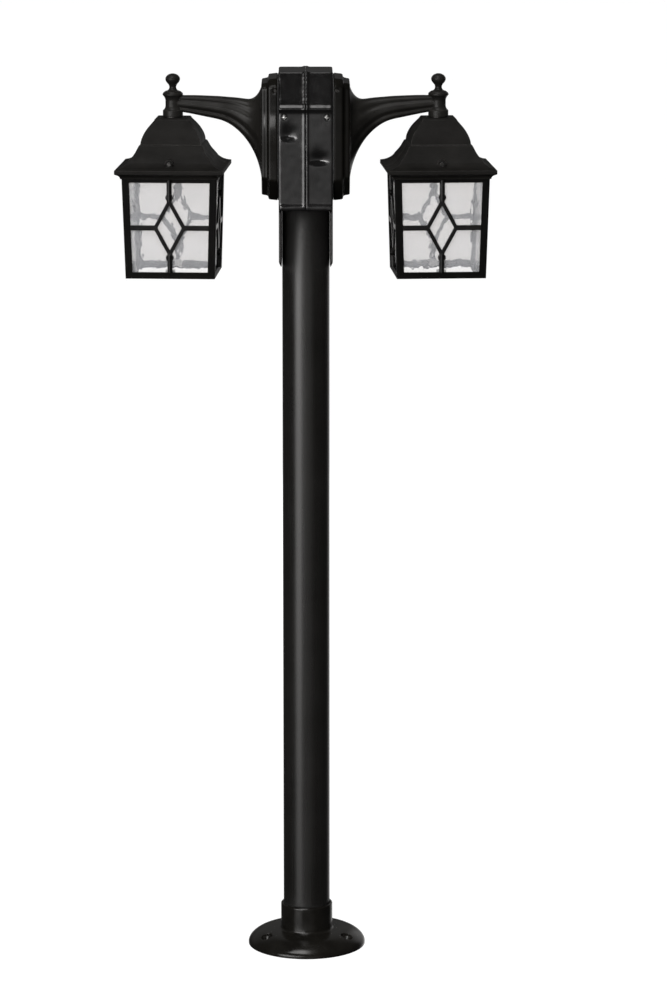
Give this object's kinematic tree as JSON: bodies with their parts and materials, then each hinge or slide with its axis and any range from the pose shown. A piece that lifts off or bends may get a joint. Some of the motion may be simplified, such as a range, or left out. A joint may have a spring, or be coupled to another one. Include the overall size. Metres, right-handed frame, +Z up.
{
  "type": "street lamp post",
  "caption": "Slim black garden lamp post: round flanged foot, tubular post and a box head with cast arms that carry square swivelling lanterns with rippled glass and diamond grilles.",
  "frame": {"origin": "centre of the ground flange, on the ground", "axes": "+Z up the post, +X to the right-hand lantern seen from the front, +Y to the back"},
  "size_m": [0.478, 0.152, 1.1433],
  "materials": {
    "cast_black": "satin black paint on an aluminium casting",
    "head_black": "semi-gloss black paint on a thin aluminium casting",
    "tube_black": "satin black paint on a steel tube",
    "lantern_black": "gloss black paint on an aluminium casting",
    "roof_black": "matt black paint on an aluminium casting",
    "black_steel": "blackened steel",
    "zinc_steel": "zinc plated",
    "brass": "plain",
    "rubber": "matt",
    "terminal_plastic": "matt",
    "lampholder_ceramic": "glazed",
    "water_glass": "clear, rippled"
  },
  "bodies": {
    "post": {"backplate_grub_screws": "black_steel", "base_flange": "cast_black", "base_set_screws": "black_steel", "cable_grommet": "rubber", "head_clamp_bolts": "zinc_steel", "head_clamp_nuts": "zinc_steel", "head_joining_plates": "zinc_steel", "head_joining_screws": "black_steel", "left_arm": "cast_black", "left_arm_screws": "zinc_steel", "left_backplate": "cast_black", "left_backplate_screws": "zinc_steel", "left_gasket": "rubber", "left_head_shell": "head_black", "post_tube": "tube_black", "right_arm": "cast_black", "right_arm_screws": "zinc_steel", "right_backplate": "cast_black", "right_backplate_screws": "zinc_steel", "right_gasket": "rubber", "right_head_shell": "head_black", "terminal_block": "terminal_plastic", "terminal_bracket": "zinc_steel"},
    "left_lantern": {"left_cage": "lantern_black", "left_finial": "cast_black", "left_grille_back": "lantern_black", "left_grille_front": "lantern_black", "left_grille_inner": "lantern_black", "left_grille_outer": "lantern_black", "left_lamp_contacts": "brass", "left_lampholder": "lampholder_ceramic", "left_pane_back": "water_glass", "left_pane_clips": "zinc_steel", "left_pane_front": "water_glass", "left_pane_inner": "water_glass", "left_pane_outer": "water_glass", "left_roof": "roof_black", "left_roof_screws": "black_steel", "left_stem_nipple": "zinc_steel", "left_stem_nut": "zinc_steel", "left_stem_washer": "black_steel"},
    "right_lantern": {"right_cage": "lantern_black", "right_finial": "cast_black", "right_grille_back": "lantern_black", "right_grille_front": "lantern_black", "right_grille_inner": "lantern_black", "right_grille_outer": "lantern_black", "right_lamp_contacts": "brass", "right_lampholder": "lampholder_ceramic", "right_pane_back": "water_glass", "right_pane_clips": "zinc_steel", "right_pane_front": "water_glass", "right_pane_inner": "water_glass", "right_pane_outer": "water_glass", "right_roof": "roof_black", "right_roof_screws": "black_steel", "right_stem_nipple": "zinc_steel", "right_stem_nut": "zinc_steel", "right_stem_washer": "black_steel"}
  },
  "joints": [
    {"name": "left_lantern_swivel", "type": "hinge", "parent": "post", "child": "left_lantern", "pos_m": [-0.16697, 0, 1.097], "axis": [0, 0, 1], "range_deg": [-90, 90]},
    {"name": "right_lantern_swivel", "type": "hinge", "parent": "post", "child": "right_lantern", "pos_m": [0.16697, 0, 1.097], "axis": [0, 0, 1], "range_deg": [-90, 90]}
  ]
}
